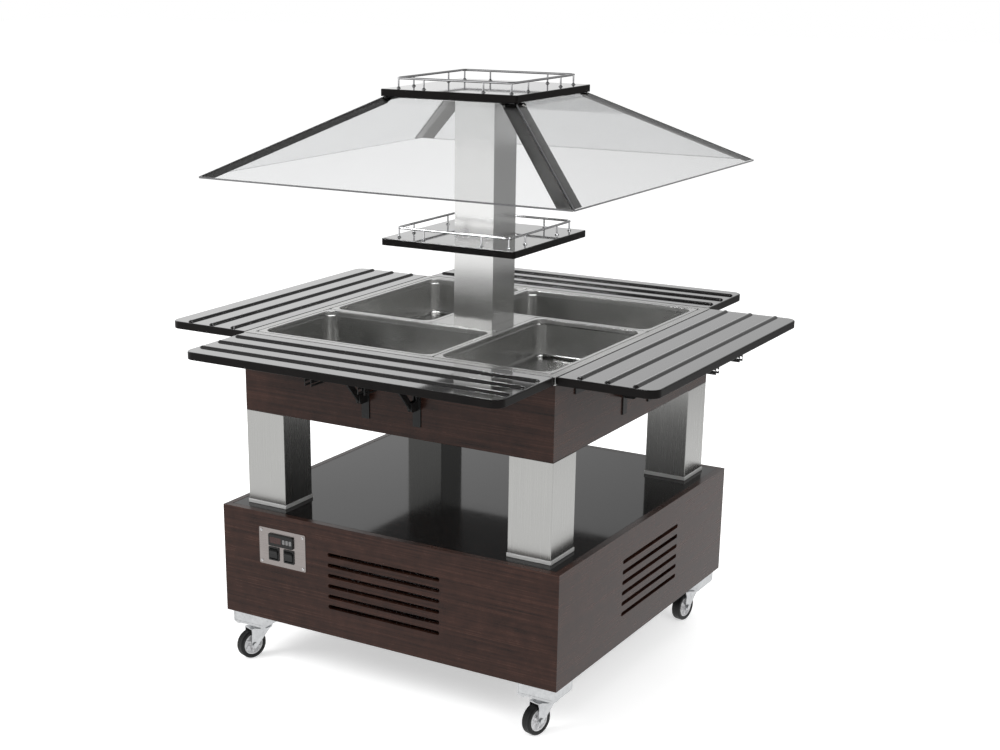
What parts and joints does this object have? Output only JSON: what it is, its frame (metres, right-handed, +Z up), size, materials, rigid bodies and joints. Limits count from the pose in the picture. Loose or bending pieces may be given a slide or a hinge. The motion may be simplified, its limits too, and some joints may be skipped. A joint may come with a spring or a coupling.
{
  "type": "chilled buffet island",
  "caption": "Square chilled buffet island on castors: pans in a cold well, folding tray slides round it, clear canopy and railed shelves on a central column.",
  "frame": {"origin": "centre of the footprint on the floor, under the column", "axes": "+Z up, -Y towards the side with the control plate, +X to the right seen from that side"},
  "size_m": [1.4, 1.4, 1.528],
  "materials": {
    "dark_lacquer": "satin",
    "black_board": "gloss",
    "brushed_steel": "satin",
    "pan_steel": "polished",
    "bright_wire": "polished",
    "zinc_steel": "satin",
    "castor_wheel": "matte",
    "black_steel": "satin",
    "clear_sheet": "gloss",
    "foam": "matte",
    "copper_tube": "satin",
    "fin_aluminium": "satin",
    "grey_plastic": "matte",
    "black_plastic": "satin"
  },
  "bodies": {
    "island": {"base_frame": "black_steel", "panel_front": "dark_lacquer", "panel_right": "dark_lacquer", "panel_back": "dark_lacquer", "panel_left": "dark_lacquer", "apron_panels": "dark_lacquer", "deck": "black_board", "mid_shelf": "black_board", "top_shelf": "black_board", "posts": "brushed_steel", "well_tank": "brushed_steel", "top_frame": "brushed_steel", "pan_supports": "brushed_steel", "column": "brushed_steel", "centre_cover": "brushed_steel", "hip_bars": "brushed_steel", "control_plate": "brushed_steel", "insulation": "foam", "gallery_rails": "bright_wire", "canopy_panels": "clear_sheet", "control_housings": "black_plastic", "screws": "zinc_steel", "castor_plates": "zinc_steel", "compressor": "black_steel", "electric_box": "black_steel", "slide_brackets": "black_steel", "condenser": "fin_aluminium", "pipework": "copper_tube", "drain": "grey_plastic"},
    "slide_front": {"tray_slide_front": "black_board", "slide_arms_front": "black_steel"},
    "braces_front": {"slide_braces_front": "black_steel"},
    "pan_front": {"pan_front": "pan_steel"},
    "slide_right": {"tray_slide_right": "black_board", "slide_arms_right": "black_steel"},
    "braces_right": {"slide_braces_right": "black_steel"},
    "pan_right": {"pan_right": "pan_steel"},
    "slide_back": {"tray_slide_back": "black_board", "slide_arms_back": "black_steel"},
    "braces_back": {"slide_braces_back": "black_steel"},
    "pan_back": {"pan_back": "pan_steel"},
    "slide_left": {"tray_slide_left": "black_board", "slide_arms_left": "black_steel"},
    "braces_left": {"slide_braces_left": "black_steel"},
    "pan_left": {"pan_left": "pan_steel"},
    "fork_front_left": {"castor_fork_front_left": "zinc_steel"},
    "wheel_front_left": {"castor_wheel_front_left": "castor_wheel"},
    "fork_front_right": {"castor_fork_front_right": "zinc_steel"},
    "wheel_front_right": {"castor_wheel_front_right": "castor_wheel"},
    "fork_back_right": {"castor_fork_back_right": "zinc_steel"},
    "wheel_back_right": {"castor_wheel_back_right": "castor_wheel"},
    "fork_back_left": {"castor_fork_back_left": "zinc_steel"},
    "wheel_back_left": {"castor_wheel_back_left": "castor_wheel"},
    "key_set": {"key_set": "black_plastic"},
    "key_down": {"key_down": "black_plastic"},
    "key_up": {"key_up": "black_plastic"},
    "rocker_power": {"rocker_power": "black_plastic"},
    "rocker_cooling": {"rocker_cooling": "black_plastic"},
    "fan": {"fan": "grey_plastic"}
  },
  "joints": [
    {"name": "slide_front_fold", "type": "hinge", "parent": "island", "child": "slide_front", "pos_m": [0, -0.476, 0.868], "axis": [1, 0, 0], "range_deg": [0, 90]},
    {"name": "braces_front_turn", "type": "hinge", "parent": "island", "child": "braces_front", "pos_m": [0, -0.476, 0.778], "axis": [1, 0, 0], "range_deg": [0, 137.57]},
    {"name": "pan_front_lift", "type": "slide", "parent": "island", "child": "pan_front", "axis": [0, 0, 1], "range_m": [0, 0.12]},
    {"name": "slide_right_fold", "type": "hinge", "parent": "island", "child": "slide_right", "pos_m": [0.476, 0, 0.868], "axis": [0, 1, 0], "range_deg": [0, 90]},
    {"name": "braces_right_turn", "type": "hinge", "parent": "island", "child": "braces_right", "pos_m": [0.476, 0, 0.778], "axis": [0, 1, 0], "range_deg": [0, 137.57]},
    {"name": "pan_right_lift", "type": "slide", "parent": "island", "child": "pan_right", "axis": [0, 0, 1], "range_m": [0, 0.12]},
    {"name": "slide_back_fold", "type": "hinge", "parent": "island", "child": "slide_back", "pos_m": [0, 0.476, 0.868], "axis": [-1, 0, 0], "range_deg": [0, 90]},
    {"name": "braces_back_turn", "type": "hinge", "parent": "island", "child": "braces_back", "pos_m": [0, 0.476, 0.778], "axis": [-1, 0, 0], "range_deg": [0, 137.57]},
    {"name": "pan_back_lift", "type": "slide", "parent": "island", "child": "pan_back", "axis": [0, 0, 1], "range_m": [0, 0.12]},
    {"name": "slide_left_fold", "type": "hinge", "parent": "island", "child": "slide_left", "pos_m": [-0.476, 0, 0.868], "axis": [0, -1, 0], "range_deg": [0, 90]},
    {"name": "braces_left_turn", "type": "hinge", "parent": "island", "child": "braces_left", "pos_m": [-0.476, 0, 0.778], "axis": [0, -1, 0], "range_deg": [0, 137.57]},
    {"name": "pan_left_lift", "type": "slide", "parent": "island", "child": "pan_left", "axis": [0, 0, 1], "range_m": [0, 0.12]},
    {"name": "castor_front_left_swivel", "type": "hinge", "parent": "island", "child": "fork_front_left", "pos_m": [-0.438, -0.438, 0.09], "axis": [0, 0, 1], "continuous": true},
    {"name": "castor_front_left_roll", "type": "hinge", "parent": "fork_front_left", "child": "wheel_front_left", "pos_m": [-0.44826, -0.46619, 0.04], "axis": [0.9397, -0.342, 0], "continuous": true},
    {"name": "castor_front_right_swivel", "type": "hinge", "parent": "island", "child": "fork_front_right", "pos_m": [0.438, -0.438, 0.09], "axis": [0, 0, 1], "continuous": true},
    {"name": "castor_front_right_roll", "type": "hinge", "parent": "fork_front_right", "child": "wheel_front_right", "pos_m": [0.43023, -0.46698, 0.04], "axis": [0.9659, -0.2588, 0], "continuous": true},
    {"name": "castor_back_right_swivel", "type": "hinge", "parent": "island", "child": "fork_back_right", "pos_m": [0.438, 0.438, 0.09], "axis": [0, 0, 1], "continuous": true},
    {"name": "castor_back_right_roll", "type": "hinge", "parent": "fork_back_right", "child": "wheel_back_right", "pos_m": [0.43383, 0.40829, 0.04], "axis": [0.9903, -0.1392, 0], "continuous": true},
    {"name": "castor_back_left_swivel", "type": "hinge", "parent": "island", "child": "fork_back_left", "pos_m": [-0.438, 0.438, 0.09], "axis": [0, 0, 1], "continuous": true},
    {"name": "castor_back_left_roll", "type": "hinge", "parent": "fork_back_left", "child": "wheel_back_left", "pos_m": [-0.43383, 0.40829, 0.04], "axis": [0.9903, 0.1392, 0], "continuous": true},
    {"name": "key_set_press", "type": "slide", "parent": "island", "child": "key_set", "axis": [0, 1, 0], "range_m": [0, 0.001], "stiffness_N_per_m": 400, "springref_m": -0.0005},
    {"name": "key_down_press", "type": "slide", "parent": "island", "child": "key_down", "axis": [0, 1, 0], "range_m": [0, 0.001], "stiffness_N_per_m": 400, "springref_m": -0.0005},
    {"name": "key_up_press", "type": "slide", "parent": "island", "child": "key_up", "axis": [0, 1, 0], "range_m": [0, 0.001], "stiffness_N_per_m": 400, "springref_m": -0.0005},
    {"name": "rocker_power_tilt", "type": "hinge", "parent": "island", "child": "rocker_power", "pos_m": [-0.3345, -0.496, 0.332], "axis": [-1, 0, 0], "range_deg": [0, 14]},
    {"name": "rocker_cooling_tilt", "type": "hinge", "parent": "island", "child": "rocker_cooling", "pos_m": [-0.2865, -0.496, 0.332], "axis": [-1, 0, 0], "range_deg": [0, 14]},
    {"name": "fan_spin", "type": "hinge", "parent": "island", "child": "fan", "pos_m": [0.003, -0.4067, 0.287], "axis": [0, 1, 0], "continuous": true}
  ],
  "couplings": [
    {"joint": "braces_front_turn", "follows": "slide_front_fold", "ratio": 1.528},
    {"joint": "braces_right_turn", "follows": "slide_right_fold", "ratio": 1.528},
    {"joint": "braces_back_turn", "follows": "slide_back_fold", "ratio": 1.528},
    {"joint": "braces_left_turn", "follows": "slide_left_fold", "ratio": 1.528}
  ]
}
